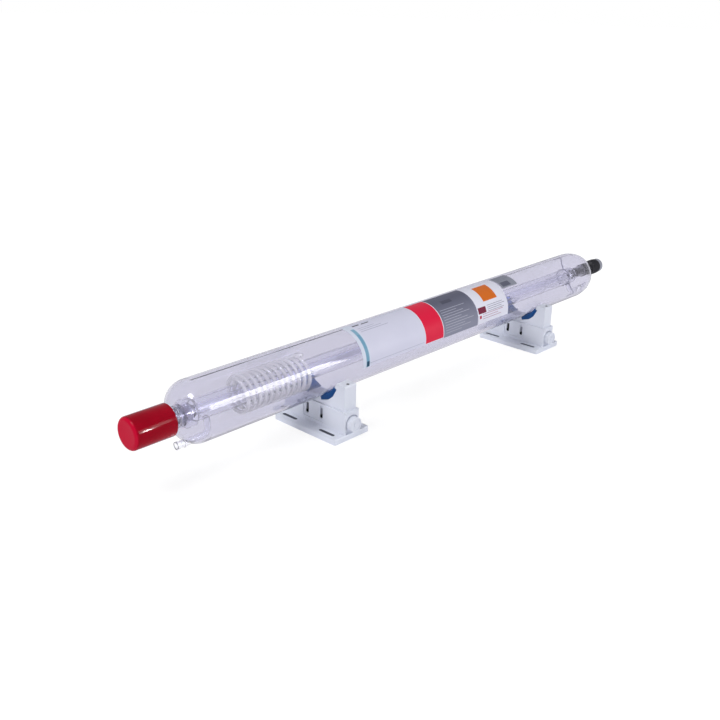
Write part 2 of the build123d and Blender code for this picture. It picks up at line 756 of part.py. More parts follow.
def make_cradle(support_y, name):
    """Moulded cradle: two arms round the tube, and a skirt that slides in the housing."""
    half_length = half_housing - cradle_inset
    with BuildPart() as cradle:
        with BuildSketch(side_plane(support_y)):
            with Locations((0, (housing_top + arm_top) / 2)):
                Rectangle(2 * half_length, arm_top - housing_top)
            with Locations((0, axis_height)):
                Circle(saddle_radius, mode=Mode.SUBTRACT)
        extrude(amount=cradle_width / 2, both=True)
        arm_corners = cradle.edges().filter_by(Axis.Y).group_by(Axis.Z)[-1].sort_by(Axis.X)
        fillet([arm_corners[0], arm_corners[-1]], arm_edge_radius)
        for side in (-1, 1):
            with BuildSketch(pad_plane(support_y, side)):
                draw_pad(margin=pad_gap)
            extrude(amount=cradle_width / 2 + cut_margin, both=True, mode=Mode.SUBTRACT)
        # Skirt: two cheeks beside the wedge, with sloping ledges that ride on it.
        for side in (-1, 1):
            with BuildSketch(side_plane(support_y + side * cheek_outer)):
                with Locations((0, (stem_bottom + housing_top) / 2)):
                    Rectangle(2 * half_stem, housing_top - stem_bottom)
            extrude(amount=side * cheek_thickness)
            with BuildSketch(side_plane(support_y + side * cheek_inner)):
                with BuildLine():
                    ledge_end_x = (housing_top - stem_bottom) / ledge_slope - half_stem
                    Polyline(
                        (-half_stem, stem_bottom),
                        (ledge_end_x, housing_top),
                        (-half_stem, housing_top),
                        close=True,
                    )
                make_face()
            extrude(amount=side * (cheek_inner - screw_slot_width / 2))
            with BuildSketch(side_plane(support_y + side * cheek_outer)):
                with Locations((-pin_offset_x, lowest_pin_height), (pin_offset_x, lowest_pin_height)):
                    Circle(pin_radius + pin_press)
            extrude(amount=side * cheek_thickness, mode=Mode.SUBTRACT)
        arm_hole_x = half_length - arm_hole_inset
        with BuildSketch(Plane((0, support_y, arm_top))):
            with Locations((-arm_hole_x, 0), (arm_hole_x, 0)):
                Circle(arm_hole_radius)
        extrude(amount=-arm_hole_depth, mode=Mode.SUBTRACT)
    save(cradle, f"{name}_cradle")


def make_pads(support_y, name):
    """Two rubber pads glued into the cradle, hollow to the glass and three-sided behind."""
    for side, hand in ((-1, "left"), (1, "right")):
        with BuildPart() as pad:
            with BuildSketch(pad_plane(support_y, side)):
                draw_pad()
            extrude(amount=cradle_width / 2 + pad_proud, both=True)
        save(pad, f"{name}_{hand}_pad")


def make_guide_pins(support_y, name):
    """Four steel pins pressed in the skirt, running in the housing's upright slots."""
    with BuildPart() as guide_pins:
        pin_outer = housing_width / 2 - pocket_depth - pin_end_gap
        for side in (-1, 1):
            with BuildSketch(side_plane(support_y + side * pin_outer)):
                with Locations((-pin_offset_x, lowest_pin_height), (pin_offset_x, lowest_pin_height)):
                    Circle(pin_radius)
            extrude(amount=side * (pin_outer - cheek_inner))
    save(guide_pins, f"{name}_guide_pins")


def make_wedge(support_y, name):
    """Sliding nut with a ramp on top: the screw pulls it under the skirt's ledges."""
    wedge_right_x = wedge_left_x + wedge_length
    wedge_top = housing_top - wedge_top_clearance
    ramp_low_z = stem_bottom + ledge_slope * (wedge_left_x + half_stem)
    ramp_end_x = wedge_left_x + (wedge_top - ramp_low_z) / ledge_slope
    with BuildPart() as wedge:
        with BuildSketch(side_plane(support_y)):
            with BuildLine():
                Polyline(
                    (wedge_left_x, cavity_floor),
                    (wedge_right_x, cavity_floor),
                    (wedge_right_x, wedge_top),
                    (ramp_end_x, wedge_top),
                    (wedge_left_x, ramp_low_z),
                    close=True,
                )
            make_face()
        extrude(amount=cheek_inner - wedge_side_clearance, both=True)
        with BuildSketch(end_plane(support_y, wedge_right_x)):
            with Locations((0, screw_height)):
                Circle(screw_radius + screw_clearance)
        extrude(amount=-wedge_length, mode=Mode.SUBTRACT)
    save(wedge, f"{name}_wedge")


def make_screw(support_y, name):
    """Lead screw: spigot in the blind wall, thread, collar, and the journal the knob sits on."""
    screw_axis = Axis((0, support_y, screw_height), (1, 0, 0))
    spigot_x = -half_cavity - screw_end_reach + screw_end_gap
    shoulder_x = -half_cavity + collar_clearance
    collar_x = half_cavity - collar_clearance - collar_width
    with BuildPart() as lead_screw:
        with BuildSketch(Plane((0, support_y, screw_height), x_dir=(1, 0, 0), z_dir=(0, -1, 0))):
            with BuildLine():
                Polyline(
                    (spigot_x, 0),
                    (spigot_x, screw_end_radius),
                    (shoulder_x, screw_end_radius),
                    (shoulder_x, screw_radius),
                    (collar_x, screw_radius),
                    (collar_x, collar_radius),
                    (collar_x + collar_width, collar_radius),
                    (collar_x + collar_width, screw_radius),
                    (knob_back_x + knob_bore_depth, screw_radius),
                    (knob_back_x + knob_bore_depth, 0),
                    close=True,
                )
            make_face()
        revolve(axis=screw_axis)
    save(lead_screw, f"{name}_lead_screw")


def make_knob(support_y, name):
    """Thumb knob pressed on the end of the lead screw."""
    with BuildPart() as knob:
        with BuildSketch(end_plane(support_y, knob_back_x)):
            with Locations((0, screw_height)):
                Circle(knob_radius)
        extrude(amount=knob_thickness)
        fillet(knob.faces().sort_by(Axis.X)[-1].edges(), knob_edge_radius)
        with BuildSketch(end_plane(support_y, knob_back_x + knob_thickness)):
            with Locations((0, screw_height)):
                Circle(knob_dish_radius)
                Circle(knob_boss_radius, mode=Mode.SUBTRACT)
        extrude(amount=-knob_dish_depth, mode=Mode.SUBTRACT)
        with BuildSketch(end_plane(support_y, knob_back_x)):
            with Locations((0, screw_height)):
                Circle(screw_radius + pin_press)
        extrude(amount=knob_bore_depth, mode=Mode.SUBTRACT)
    save(knob, f"{name}_knob")


for support_y, name in ((0.0, "near"), (support_spacing, "far")):
    make_base(support_y, name)
    make_cradle(support_y, name)
    make_pads(support_y, name)
    make_guide_pins(support_y, name)
    make_wedge(support_y, name)
    make_screw(support_y, name)
    make_knob(support_y, name)
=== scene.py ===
import math

import bmesh
import bpy
from mathutils import Matrix, Vector


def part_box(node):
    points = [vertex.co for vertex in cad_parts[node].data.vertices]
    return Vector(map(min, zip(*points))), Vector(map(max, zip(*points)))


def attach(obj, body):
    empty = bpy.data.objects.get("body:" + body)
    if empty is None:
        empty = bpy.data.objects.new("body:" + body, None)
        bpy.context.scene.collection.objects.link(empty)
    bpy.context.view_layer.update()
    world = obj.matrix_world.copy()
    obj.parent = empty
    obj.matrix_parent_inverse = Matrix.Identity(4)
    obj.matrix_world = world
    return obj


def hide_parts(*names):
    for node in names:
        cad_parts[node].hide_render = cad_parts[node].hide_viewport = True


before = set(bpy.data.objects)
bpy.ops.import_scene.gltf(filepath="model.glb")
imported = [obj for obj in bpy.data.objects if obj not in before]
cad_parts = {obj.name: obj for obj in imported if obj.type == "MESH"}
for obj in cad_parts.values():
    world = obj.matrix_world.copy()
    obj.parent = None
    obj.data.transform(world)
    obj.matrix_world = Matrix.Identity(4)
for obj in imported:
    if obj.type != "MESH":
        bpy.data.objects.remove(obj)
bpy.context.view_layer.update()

# ---- Support mouldings ---------------------------------------------------------------------
# Each support's base with its housing, the cradle and the thumb knob. All are injection
# moulded in cool white ABS, with the fine spark-eroded grain of the mould on every face. The
# fixing slots are painted darker, painted shade, and the sliding faces behind the upright slots
# have painted shade too: near black on the left, pale grey on the right.


def display(code):
    """A colour written as it shows on a screen, turned into the value a shader takes."""
    channels = [int(code[place:place + 2], 16) / 255 for place in (0, 2, 4)]
    linear = [c / 12.92 if c <= 0.04045 else ((c + 0.055) / 1.055) ** 2.4 for c in channels]
    return (*linear, 1.0)


def new_finish(name, colour, roughness, settings=None):
    """A material with its Principled shader's plain values set."""
    finish = bpy.data.materials.new(name)
    finish.use_nodes = True
    tree = finish.node_tree
    skin = tree.nodes["Principled BSDF"]
    skin.inputs["Base Color"].default_value = display(colour)
    skin.inputs["Roughness"].default_value = roughness
    for socket, value in (settings or {}).items():
        skin.inputs[socket].default_value = value
    return finish, tree, skin


def calc(tree, operation, *values):
    """One Math node: each value is a number or another node's output."""
    node = tree.nodes.new("ShaderNodeMath")
    node.operation = operation
    for socket, value in zip(node.inputs, values):
        if isinstance(value, (int, float)):
            socket.default_value = value
        else:
            tree.links.new(value, socket)
    return node.outputs[0]


def mottle(tree, scale, detail=2.0, stretch=(1.0, 1.0, 1.0)):
    """Noise from 0 to 1 on object coordinates, stretched along the axes where asked."""
    place = tree.nodes.new("ShaderNodeTexCoord")
    mapping = tree.nodes.new("ShaderNodeMapping")
    mapping.inputs["Scale"].default_value = stretch
    noise = tree.nodes.new("ShaderNodeTexNoise")
    noise.inputs["Scale"].default_value = scale
    noise.inputs["Detail"].default_value = detail
    tree.links.new(place.outputs["Object"], mapping.inputs["Vector"])
    tree.links.new(mapping.outputs["Vector"], noise.inputs["Vector"])
    return noise.outputs["Fac"]


def tint(tree, share, low, high):
    """Colour that runs from low to high as share goes from 0 to 1. Each is a code or an output."""
    mix = tree.nodes.new("ShaderNodeMix")
    mix.data_type = "RGBA"
    tree.links.new(share, mix.inputs[0])
    for socket, colour in ((mix.inputs[6], low), (mix.inputs[7], high)):
        if isinstance(colour, str):
            socket.default_value = display(colour)
        else:
            tree.links.new(colour, socket)
    return mix.outputs[2]


def lay_over(tree, ground, fields):
    """A ground colour with each field's colour laid over it in turn."""
    for share, colour in fields:
        ground = tint(tree, share, ground, colour)
    return ground


def ramp(tree, value, low, high):
    """A value mapped from 0 to 1 onto low to high."""
    return calc(tree, "MULTIPLY_ADD", value, high - low, low)


def emboss(tree, skin, height, depth):
    """Fine relief of this depth in metres."""
    bump = tree.nodes.new("ShaderNodeBump")
    bump.inputs["Strength"].default_value = 1.0
    bump.inputs["Distance"].default_value = depth
    tree.links.new(height, bump.inputs["Height"])
    tree.links.new(bump.outputs["Normal"], skin.inputs["Normal"])


def inside(tree, value, low, high):
    """1 between low and high, else 0."""
    above = calc(tree, "GREATER_THAN", value, low)
    below = calc(tree, "LESS_THAN", value, high)
    return calc(tree, "MULTIPLY", above, below)


def place_parts(tree):
    """The three object coordinates of a point."""
    place = tree.nodes.new("ShaderNodeTexCoord")
    parts = tree.nodes.new("ShaderNodeSeparateXYZ")
    tree.links.new(place.outputs["Object"], parts.inputs[0])
    return parts.outputs


def dress(node, finish):
    """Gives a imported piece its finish."""
    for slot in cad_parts[node].material_slots:
        slot.material = finish


abs_white, tree, skin = new_finish("support_abs", "e0e4ee", 0.45)
plastic = tint(tree, mottle(tree, 35.0), "dce0eb", "e5e8f2")
across, along, height = place_parts(tree)
support_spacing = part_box("far_base")[0].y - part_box("near_base")[0].y
fixing_slot_x = 0.036           # middle of a fixing slot from the middle of its base
fixing_slot_y = 0.0236
fixing_slot_reach = 0.0114      # from a slot's middle to the centre of its round end
slot_radius = 0.0026            # fixing slots and upright slots
slot_shade_overlap = 0.00002         # how far the tint runs past a slot's wall
top_clearance = 0.0001          # clear of the base's top face
base_top = 0.008
guide_slot_x = 0.0135
shaded_heights = (0.0195, 0.0315)
# Painted shade: the fixing slots' walls below the base's top are painted a darker grey.
from_middle = calc(tree, "ABSOLUTE", calc(tree, "SUBTRACT", along, support_spacing / 2))
own_along = calc(tree, "ABSOLUTE", calc(tree, "SUBTRACT", from_middle, support_spacing / 2))
off_row = calc(tree, "SUBTRACT", own_along, fixing_slot_y)
off_middle = calc(tree, "SUBTRACT", calc(tree, "ABSOLUTE", across), fixing_slot_x)
past_centre = calc(tree, "SUBTRACT", calc(tree, "ABSOLUTE", off_middle), fixing_slot_reach)
past_centre = calc(tree, "MAXIMUM", past_centre, 0.0)
squares = [calc(tree, "MULTIPLY", off, off) for off in (off_row, past_centre)]
in_plan = calc(
    tree, "LESS_THAN", calc(tree, "ADD", *squares), (slot_radius + slot_shade_overlap) ** 2
)
slot_shade = calc(
    tree, "MULTIPLY", in_plan, calc(tree, "LESS_THAN", height, base_top - top_clearance)
)
# Painted shade: a band on the sliding faces behind the upright slots, near black on the left, pale
# grey on the right.
shaded_band = inside(tree, height, *shaded_heights)
painted_shade_left, painted_shade_right = (
    calc(tree, "MULTIPLY", shaded_band, inside(tree, across, x - slot_radius, x + slot_radius))
    for x in (-guide_slot_x, guide_slot_x)
)
painted_shades = ((slot_shade, "6a6c7a"), (painted_shade_left, "202028"), (painted_shade_right, "8f919f"))
tree.links.new(lay_over(tree, plastic, painted_shades), skin.inputs["Base Color"])
tree.links.new(ramp(tree, mottle(tree, 400.0), 0.36, 0.5), skin.inputs["Roughness"])
emboss(tree, skin, mottle(tree, 2600.0, 1.0), 0.00002)
for side in ("near", "far"):
    for piece in ("base", "cradle", "knob"):
        dress(f"{side}_{piece}", abs_white)

# ---- Wedge, lead screw and guide pins ------------------------------------------------------
# Inside each housing a bright steel screw pulls a natural acetal wedge under the cradle's
# skirt, which four blackened steel pins keep upright.

acetal, tree, skin = new_finish("wedge_acetal", "ece9df", 0.35)
tree.links.new(tint(tree, mottle(tree, 60.0), "e6e2d6", "f2efe6"), skin.inputs["Base Color"])
emboss(tree, skin, mottle(tree, 1500.0, 1.0), 0.000015)

ground_steel, tree, skin = new_finish("ground_steel", "b9bcc2", 0.28, {"Metallic": 1.0})
drawn = mottle(tree, 900.0, 2.0, (0.05, 1.0, 1.0))
tree.links.new(ramp(tree, drawn, 0.2, 0.38), skin.inputs["Roughness"])
tree.links.new(tint(tree, mottle(tree, 90.0), "aeb1b8", "c6c9ce"), skin.inputs["Base Color"])
emboss(tree, skin, drawn, 0.000006)
for side in ("near", "far"):
    dress(f"{side}_wedge", acetal)
    dress(f"{side}_lead_screw", ground_steel)

blackened, tree, skin = new_finish("blackened_steel", "1c1c20", 0.4, {"Metallic": 0.8})
tree.links.new(tint(tree, mottle(tree, 200.0), "141417", "26262b"), skin.inputs["Base Color"])
tree.links.new(ramp(tree, mottle(tree, 600.0), 0.34, 0.5), skin.inputs["Roughness"])
for side in ("near", "far"):
    dress(f"{side}_guide_pins", blackened)

# ---- Rubber pads ---------------------------------------------------------------------------
# Two navy rubber pads glued in each cradle. Each is moulded hollow to fit the glass and
# three-sided behind, with all its edges rounded over.

axis_height = (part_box("gas_envelope")[0].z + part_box("gas_envelope")[1].z) / 2
glass_radius = (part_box("gas_envelope")[1].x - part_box("gas_envelope")[0].x) / 2
pad_face = glass_radius + 0.0001
pad_end_thickness = 0.0058
pad_back_thickness = 0.0071
pad_back_width = 0.011
pad_edge = 0.0008
pad_angles = (15.8, 62.8)       # degrees from straight down
pad_face_steps = 40


def on_tube(angle, radius, y):
    """A point round the tube's axis, at this angle in degrees from straight up towards +X."""
    turn = math.radians(angle)
    return (radius * math.sin(turn), y, axis_height + radius * math.cos(turn))


def make_piece(name, shape, finish, body, stands_for=(), crease=35.0):
    """A finished mesh from a bmesh: smooth but for its creases, riding on its body."""
    mesh = bpy.data.meshes.new(name)
    shape.to_mesh(mesh)
    shape.free()
    mesh.shade_smooth()
    mesh.set_sharp_from_angle(angle=math.radians(crease))
    mesh.materials.append(finish)
    piece = bpy.data.objects.new(name, mesh)
    bpy.context.scene.collection.objects.link(piece)
    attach(piece, body)
    if stands_for:
        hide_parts(*stands_for)
    return piece


def pad_shape(middle, start_y, end_y):
    """A pad whose middle is at this angle round the tube."""
    spread = (pad_angles[1] - pad_angles[0]) / 2
    back = pad_face + pad_back_thickness
    back_turn = math.degrees(math.atan2(pad_back_width / 2, back))
    back_radius = math.hypot(back, pad_back_width / 2)
    outline = [
        (middle - spread + 2 * spread * step / pad_face_steps, pad_face)
        for step in range(pad_face_steps + 1)
    ]
    outline += [
        (middle + spread, pad_face + pad_end_thickness),
        (middle + back_turn, back_radius),
        (middle - back_turn, back_radius),
        (middle - spread, pad_face + pad_end_thickness),
    ]
    shape = bmesh.new()
    ends = [
        [shape.verts.new(on_tube(angle, radius, y)) for angle, radius in outline]
        for y in (start_y, end_y)
    ]
    for here in range(len(outline)):
        there = (here + 1) % len(outline)
        shape.faces.new((ends[0][here], ends[0][there], ends[1][there], ends[1][here]))
    for end in ends:
        shape.faces.new(end)
    bmesh.ops.recalc_face_normals(shape, faces=shape.faces)
    edges = [e for e in shape.edges if e.calc_face_angle(0.0) > math.radians(15)]
    bmesh.ops.bevel(shape, geom=edges, offset=pad_edge, segments=4, profile=0.5, affect="EDGES")
    return shape


navy_rubber, tree, skin = new_finish("navy_rubber", "06397c", 0.5, {"Specular IOR Level": 0.3})
tree.links.new(tint(tree, mottle(tree, 120.0, 3.0), "04346a", "0b5090"), skin.inputs["Base Color"])
tree.links.new(ramp(tree, mottle(tree, 300.0), 0.42, 0.6), skin.inputs["Roughness"])
emboss(tree, skin, mottle(tree, 1400.0), 0.00004)
pad_middle = sum(pad_angles) / 2
for side in ("near", "far"):
    for hand, middle in (("right", 180 - pad_middle), ("left", 180 + pad_middle)):
        node = f"{side}_{hand}_pad"
        low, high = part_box(node)
        shape = pad_shape(middle, low.y, high.y)
        make_piece(f"{side}_{hand}_rubber", shape, navy_rubber, "tube", (node,))

# ---- Discharge tube, jacket and return coil ------------------------------------------------
# Clear borosilicate tubes drawn and blown by hand, fused to each other at their ends. The
# drawing leaves faint lines along the tubes, which bend the light a little.

glass_ior = 1.47


def new_glass(name, colour, density, tone, waviness, roughness):
    """Clear glass that takes its colour from the thickness of glass the light crosses."""
    glass, tree, skin = new_finish(
        name, tone, roughness, {"Transmission Weight": 1.0, "IOR": glass_ior}
    )
    depth = tree.nodes.new("ShaderNodeVolumeAbsorption")
    depth.inputs["Color"].default_value = display(colour)
    depth.inputs["Density"].default_value = density
    tree.links.new(depth.outputs["Volume"], tree.nodes["Material Output"].inputs["Volume"])
    drawn = mottle(tree, 70.0, 2.0, (1.0, 0.06, 1.0))
    emboss(tree, skin, drawn, waviness)
    return glass


inner_glass = new_glass("inner_glass", "c4c4d2", 12.0, "fbfbfe", 0.00012, 0.02)
for node in ("discharge_tube", "water_jacket"):
    dress(node, inner_glass)
coil_glass = new_glass("coil_glass", "d8d8e2", 6.0, "ffffff", 0.00012, 0.02)
coil_glass.node_tree.nodes["Principled BSDF"].inputs["Transmission Weight"].default_value = 0.8
dress("return_coil", coil_glass)

# ---- Electrodes and spring clip ------------------------------------------------------------
# Cathode, anode and their leads are rolled nickel sheet and wire. The cathode is still bright,
# the anode is blackened. The clip that centres the jacket is bent stainless strip.

for name, codes, metal, shine, nodes in (
    ("cathode_nickel", ("b4b4be", "d8d8de"), 1.0, (0.14, 0.28), ("cathode", "cathode_lead")),
    ("anode_nickel", ("060609", "17161c"), 1.0, (0.3, 0.45), ("anode", "anode_lead")),
):
    nickel, tree, skin = new_finish(name, codes[0], shine[0], {"Metallic": metal})
    rolled = mottle(tree, 500.0, 3.0, (1.0, 0.1, 1.0))
    tree.links.new(tint(tree, mottle(tree, 180.0, 3.0), *codes), skin.inputs["Base Color"])
    tree.links.new(ramp(tree, rolled, *shine), skin.inputs["Roughness"])
    emboss(tree, skin, rolled, 0.00001)
    for node in nodes:
        dress(node, nickel)

strip_steel, tree, skin = new_finish("strip_steel", "c4c4ce", 0.3, {"Metallic": 1.0})
tree.links.new(tint(tree, mottle(tree, 200.0, 2.0), "b8b8c4", "d2d2da"), skin.inputs["Base Color"])
tree.links.new(ramp(tree, mottle(tree, 700.0), 0.24, 0.4), skin.inputs["Roughness"])
dress("jacket_clip", strip_steel)

# ---- Gas envelope --------------------------------------------------------------------------
# The large outer tube, drawn borosilicate with a rolled shoulder at one end and a dome at
# the other. Its thick wall shows a cool lilac grey, darkest where one looks along it.

envelope_glass = new_glass("envelope_glass", "8a89a0", 26.0, "e9e8f1", 0.00025, 0.03)
dress("gas_envelope", envelope_glass)
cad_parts["gas_envelope"].visible_shadow = False

# ---- Fused glass beads ---------------------------------------------------------------------
# Where one tube passes through or ends on another, the glassblower melts the two together
# and a rounded bead of glass is left round the seam.


def add_node(tree, kind, values=None):
    """A node of this kind, with each named input set or linked."""
    node = tree.nodes.new(kind)
    for socket, value in (values or {}).items():
        if hasattr(value, "is_output"):
            tree.links.new(value, node.inputs[socket])
        else:
            node.inputs[socket].default_value = value
    return node


def open_tree(name, sizes):
    """An empty Geometry Nodes tree with a named input for each size, and for the finish."""
    tree = bpy.data.node_groups.new(name, "GeometryNodeTree")
    tree.interface.new_socket("Shape", in_out="OUTPUT", socket_type="NodeSocketGeometry")
    for size, kind in sizes.items():
        tree.interface.new_socket(size, in_out="INPUT", socket_type=f"NodeSocket{kind}")
    tree.interface.new_socket("Finish", in_out="INPUT", socket_type="NodeSocketMaterial")
    return tree, tree.nodes.new("NodeGroupInput").outputs


def close_tree(tree, shape, finish):
    """Ends a tree: instances made real and given the finish."""
    real = add_node(tree, "GeometryNodeRealizeInstances", {"Geometry": shape})
    painted = add_node(
        tree, "GeometryNodeSetMaterial", {"Geometry": real.outputs[0], "Material": finish}
    )
    end = tree.nodes.new("NodeGroupOutput")
    tree.links.new(painted.outputs[0], end.inputs[0])


def grow(tree, name, sizes, finish, body, crease=35.0):
    """Runs a tree with these sizes and keeps the result as a plain mesh on its body."""
    seed = bpy.data.objects.new(name, bpy.data.meshes.new(name))
    bpy.context.scene.collection.objects.link(seed)
    maker = seed.modifiers.new("maker", "NODES")
    maker.node_group = tree
    for item in tree.interface.items_tree:
        if item.in_out == "INPUT":
            maker[item.identifier] = finish if item.name == "Finish" else sizes[item.name]
    depsgraph = bpy.context.evaluated_depsgraph_get()
    mesh = bpy.data.meshes.new_from_object(seed.evaluated_get(depsgraph), depsgraph=depsgraph)
    seed.modifiers.remove(maker)
    seed.data = mesh
    mesh.name = name
    mesh.shade_smooth()
    mesh.set_sharp_from_angle(angle=math.radians(crease))
    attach(seed, body)
    return seed


bead_tree, given = open_tree(
    "fused_bead", {"Ring radius": "Float", "Bead radius": "Float", "Centre": "Vector"}
)
ring = add_node(
    bead_tree,
    "GeometryNodeCurvePrimitiveCircle",
    {"Resolution": 96, "Radius": given["Ring radius"]},
)
section = add_node(
    bead_tree,
    "GeometryNodeCurvePrimitiveCircle",
    {"Resolution": 12, "Radius": given["Bead radius"]},
)
swept = add_node(
    bead_tree,
    "GeometryNodeCurveToMesh",
    {"Curve": ring.outputs["Curve"], "Profile Curve": section.outputs["Curve"]},
)
stood = add_node(
    bead_tree,
    "GeometryNodeTransform",
    {
        "Geometry": swept.outputs["Mesh"],
        "Rotation": (math.pi / 2, 0.0, 0.0),
        "Translation": given["Centre"],
    },
)
close_tree(bead_tree, stood.outputs["Geometry"], given["Finish"])

envelope_low, envelope_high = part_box("gas_envelope")
jacket_rear = 0.638
bead_places = {         # radius of the seam, radius of the bead, centre of the seam
    "front_neck_bead": (0.0122, 0.0014, (0.0, envelope_low.y, axis_height)),
    "rear_neck_bead": (0.0102, 0.0013, (0.0, envelope_high.y, axis_height)),
    "jacket_front_bead": (0.0125, 0.0012, (0.0, envelope_low.y + 0.0072, axis_height)),
    "jacket_rear_bead": (0.0105, 0.0011, (0.0, jacket_rear, axis_height)),
    "inlet_bead": (0.0047, 0.0009, (0.0091, envelope_low.y + 0.0035, axis_height - 0.0317)),
    "outlet_bead": (0.0047, 0.0009, (0.0083, envelope_high.y - 0.0117, axis_height - 0.0288)),
}
for name, (ring_radius, bead_radius, centre) in bead_places.items():
    sizes = {"Ring radius": ring_radius, "Bead radius": bead_radius, "Centre": centre}
    bead = grow(bead_tree, name, sizes, inner_glass, "tube")
    bead.visible_shadow = False

# ---- Bushes in the arm holes (painted shade) -----------------------------------------------
# A blackened steel bush sits in the hole at the tip of each cradle arm, just under the
# face. It is a dark part put there as painted shade, standing in for the shade deep in the hole.

shade_bush_tree, given = open_tree(
    "hole_shade_bushes",
    {
        "Radius": "Float",
        "Wall": "Float",
        "Length": "Float",
        "Across": "Float",
        "Along": "Float",
        "Centre": "Vector",
    },
)
ring = add_node(
    shade_bush_tree, "GeometryNodeCurvePrimitiveCircle", {"Resolution": 32, "Radius": given["Radius"]}
)
section = add_node(
    shade_bush_tree,
    "GeometryNodeCurvePrimitiveQuadrilateral",
    {"Width": given["Wall"], "Height": given["Length"]},
)
bush = add_node(
    shade_bush_tree,
    "GeometryNodeCurveToMesh",
    {"Curve": ring.outputs["Curve"], "Profile Curve": section.outputs["Curve"]},
)
spots = add_node(
    shade_bush_tree,
    "GeometryNodeMeshGrid",
    {"Size X": given["Across"], "Size Y": given["Along"], "Vertices X": 2, "Vertices Y": 2},
)
row = add_node(
    shade_bush_tree,
    "GeometryNodeInstanceOnPoints",
    {"Points": spots.outputs["Mesh"], "Instance": bush.outputs["Mesh"]},
)
stood = add_node(
    shade_bush_tree,
    "GeometryNodeTransform",
    {"Geometry": row.outputs["Instances"], "Translation": given["Centre"]},
)
close_tree(shade_bush_tree, stood.outputs["Geometry"], given["Finish"])
arms_low, arms_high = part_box("near_cradle")
arms_y = (arms_low.y + arms_high.y) / 2
arm_hole_spacing = 0.102
insert_bore_radius = 0.0017
insert_wall = 0.00049
insert_length = 0.01
insert_top = arms_high.z - 0.0001       # just under the arm's top face
insert_sizes = {
    "Radius": insert_bore_radius + insert_wall / 2,
    "Wall": insert_wall,
    "Length": insert_length,
    "Across": arm_hole_spacing,
    "Along": support_spacing,
    "Centre": (0.0, arms_y + support_spacing / 2, insert_top - insert_length / 2),
}
grow(shade_bush_tree, "arm_hole_shade_bushes", insert_sizes, blackened, "tube")

# ---- Rear mirror mount ---------------------------------------------------------------------
# Turned aluminium, black anodised, cemented on the rear neck. A straight knurl gives grip,
# and a bright steel ring holds the gold-faced mirror in its end.

anodised, tree, skin = new_finish("black_anodised", "1d1d20", 0.36, {"Metallic": 0.5})
turned = mottle(tree, 1500.0, 2.0, (0.1, 1.0, 0.1))
tree.links.new(tint(tree, mottle(tree, 300.0, 3.0), "131316", "2b2b2f"), skin.inputs["Base Color"])
tree.links.new(ramp(tree, turned, 0.26, 0.46), skin.inputs["Roughness"])
emboss(tree, skin, turned, 0.00002)
dress("rear_mount", anodised)

knurl_tree, given = open_tree(
    "straight_knurl",
    {"Count": "Int", "Radius": "Float", "Ridge": "Vector", "Centre": "Vector"},
)
ring = add_node(
    knurl_tree,
    "GeometryNodeCurvePrimitiveCircle",
    {"Resolution": given["Count"], "Radius": given["Radius"]},
)
spots = add_node(
    knurl_tree,
    "GeometryNodeCurveToPoints",
    {"Curve": ring.outputs["Curve"], "Count": given["Count"]},
)
ridge = add_node(knurl_tree, "GeometryNodeMeshCube", {"Size": given["Ridge"]})
row = add_node(
    knurl_tree,
    "GeometryNodeInstanceOnPoints",
    {
        "Points": spots.outputs["Points"],
        "Instance": ridge.outputs["Mesh"],
        "Rotation": spots.outputs["Rotation"],
    },
)
stood = add_node(
    knurl_tree,
    "GeometryNodeTransform",
    {
        "Geometry": row.outputs["Instances"],
        "Rotation": (math.pi / 2, 0.0, 0.0),
        "Translation": given["Centre"],
    },
)
close_tree(knurl_tree, stood.outputs["Geometry"], given["Finish"])
mount_low, mount_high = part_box("rear_mount")
mount_radius = (mount_high.x - mount_low.x) / 2
ridge_count = 60
ridge_width = 0.0008
ridge_height = 0.0007
knurl_length = 0.016
knurl_from_end = 0.004
knurl_sizes = {
    "Count": ridge_count,
    "Radius": mount_radius,
    "Ridge": (ridge_width, knurl_length, ridge_height),
    "Centre": (0.0, mount_high.y - knurl_from_end - knurl_length / 2, axis_height),
}
grow(knurl_tree, "mount_knurl", knurl_sizes, anodised, "tube")

bright_steel, tree, skin = new_finish("bright_steel", "c9ccd2", 0.2, {"Metallic": 1.0})
turned = mottle(tree, 1200.0, 2.0, (1.0, 0.1, 1.0))
tree.links.new(ramp(tree, turned, 0.14, 0.32), skin.inputs["Roughness"])
tree.links.new(tint(tree, mottle(tree, 150.0), "b9bcc4", "d6d8dc"), skin.inputs["Base Color"])
emboss(tree, skin, turned, 0.00001)
dress("mirror_ring", bright_steel)

gold, tree, skin = new_finish("gold_mirror", "e8b866", 0.06, {"Metallic": 1.0})
tree.links.new(ramp(tree, mottle(tree, 300.0), 0.04, 0.1), skin.inputs["Roughness"])
dress("rear_mirror", gold)

# ---- Output head ---------------------------------------------------------------------------
# Turned brass, nickel plated, cemented on the front neck. It holds the amber zinc selenide
# lens on a black seal, under a slotted ring. The dust cap hides it.

plated, tree, skin = new_finish("plated_brass", "dedad0", 0.24, {"Metallic": 1.0})
turned = mottle(tree, 1200.0, 2.0, (0.1, 1.0, 0.1))
tree.links.new(ramp(tree, turned, 0.18, 0.34), skin.inputs["Roughness"])
tree.links.new(tint(tree, mottle(tree, 120.0), "d2cec2", "e8e5dc"), skin.inputs["Base Color"])
emboss(tree, skin, turned, 0.00001)
for node in ("output_head", "lens_ring"):
    dress(node, plated)

amber, tree, skin = new_finish(
    "zinc_selenide", "e8a33c", 0.03, {"Transmission Weight": 0.7, "IOR": 2.4}
)
tree.links.new(tint(tree, mottle(tree, 80.0), "e09a34", "efae4a"), skin.inputs["Base Color"])
dress("output_lens", amber)

seal_black, tree, skin = new_finish("seal_rubber", "202022", 0.6)
tree.links.new(tint(tree, mottle(tree, 400.0), "1a1a1c", "29292c"), skin.inputs["Base Color"])
dress("lens_seal", seal_black)
